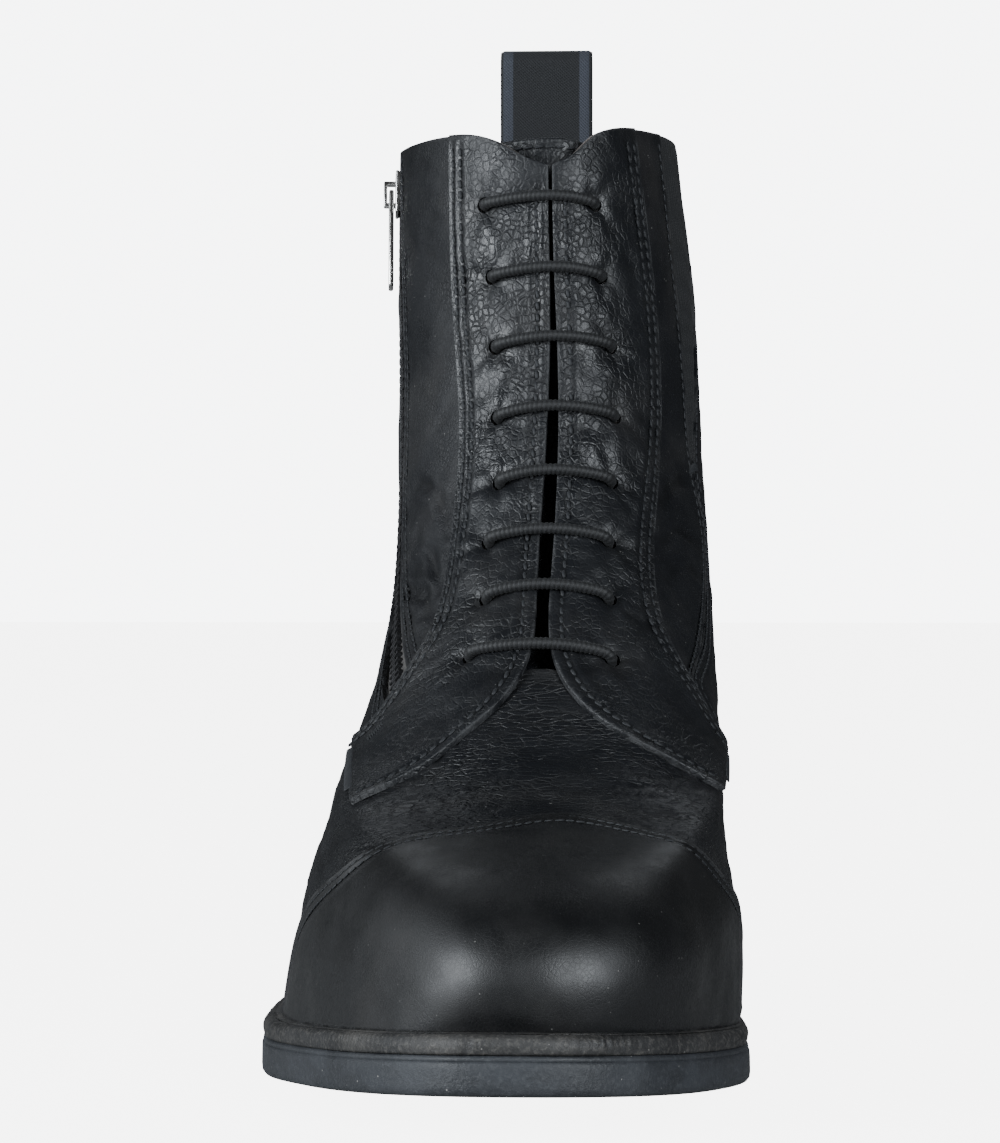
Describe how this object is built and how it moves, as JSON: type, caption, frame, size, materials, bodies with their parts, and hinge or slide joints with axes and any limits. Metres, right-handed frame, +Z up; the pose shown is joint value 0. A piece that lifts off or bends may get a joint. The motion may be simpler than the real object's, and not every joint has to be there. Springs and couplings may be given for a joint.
{
  "type": "lace-up ankle boot",
  "caption": "Black leather ankle boot with toe cap, front lacing, side zip with slider and pull, elastic gore, low block heel and webbing pull loop.",
  "frame": {"origin": "middle of the footprint box on the floor, under the waist of the boot", "axes": "+Z up, +Y towards the heel, +X towards the gore side of the shaft"},
  "size_m": [0.1094, 0.2986, 0.254],
  "materials": {
    "upper_leather": "tumbled, satin",
    "cap_leather": "smooth, semi-gloss",
    "lining_leather": "natural, matt",
    "rubber": "moulded, matt",
    "welt_leather": "worn, matt",
    "board": "fibre board",
    "steel": "spring steel",
    "footbed_fabric": "brushed",
    "elastic": "ribbed elastic",
    "lace": "braided elastic cord",
    "webbing": "twill webbing",
    "zip_tape": "woven tape",
    "zip_teeth": "nylon",
    "zip_metal": "nickel plated",
    "padding": "leather faced padding"
  },
  "bodies": {
    "root": {"outsole": "rubber", "welt": "welt_leather", "sole_filler": "board", "shank": "steel", "insole_board": "board", "footbed": "footbed_fabric", "heel_top_piece": "rubber", "heel_block": "rubber", "zip_side_facing": "upper_leather", "gore_side_facing": "upper_leather", "zip_side_facing_lining": "lining_leather", "gore_side_facing_lining": "lining_leather", "toe_cap": "cap_leather", "toe_puff": "board", "vamp": "upper_leather", "vamp_lining": "lining_leather", "zip_side_front_panel": "upper_leather", "zip_side_rear_panel": "upper_leather", "zip_side_front_lining": "lining_leather", "zip_side_rear_lining": "lining_leather", "zip_guard": "upper_leather", "gore_side_front_panel": "upper_leather", "elastic_gore": "elastic", "gore_side_rear_panel": "upper_leather", "gore_side_lining": "lining_leather", "heel_counter": "cap_leather", "heel_stiffener": "board", "heel_lining": "lining_leather", "back_strap": "cap_leather", "tongue": "padding", "zip_tape_front": "zip_tape", "zip_tape_rear": "zip_tape", "zip_teeth_front": "zip_teeth", "zip_teeth_rear": "zip_teeth", "zip_top_stop": "zip_metal", "zip_bottom_stop": "zip_metal", "elastic_lace": "lace", "pull_loop_inner_end": "webbing", "pull_loop_outer_end": "webbing"},
    "slider": {"zip_slider": "zip_metal"},
    "pull": {"zip_pull": "zip_metal"},
    "loop": {"pull_loop": "webbing"}
  },
  "joints": [
    {"name": "zip_slide", "type": "slide", "parent": "root", "child": "slider", "axis": [0.026, -0.2628, -0.9645], "range_m": [0, 0.068]},
    {"name": "zip_pull_swing", "type": "hinge", "parent": "slider", "child": "pull", "pos_m": [-0.0348, 0.0728, 0.20758], "axis": [-0.0963, 0.9581, -0.2697], "range_deg": [0, 160]},
    {"name": "pull_loop_flex", "type": "hinge", "parent": "root", "child": "loop", "pos_m": [0.00242, 0.14026, 0.22051], "axis": [1, 0, 0], "range_deg": [-25, 25], "stiffness_Nm_per_rad": 0.02}
  ]
}
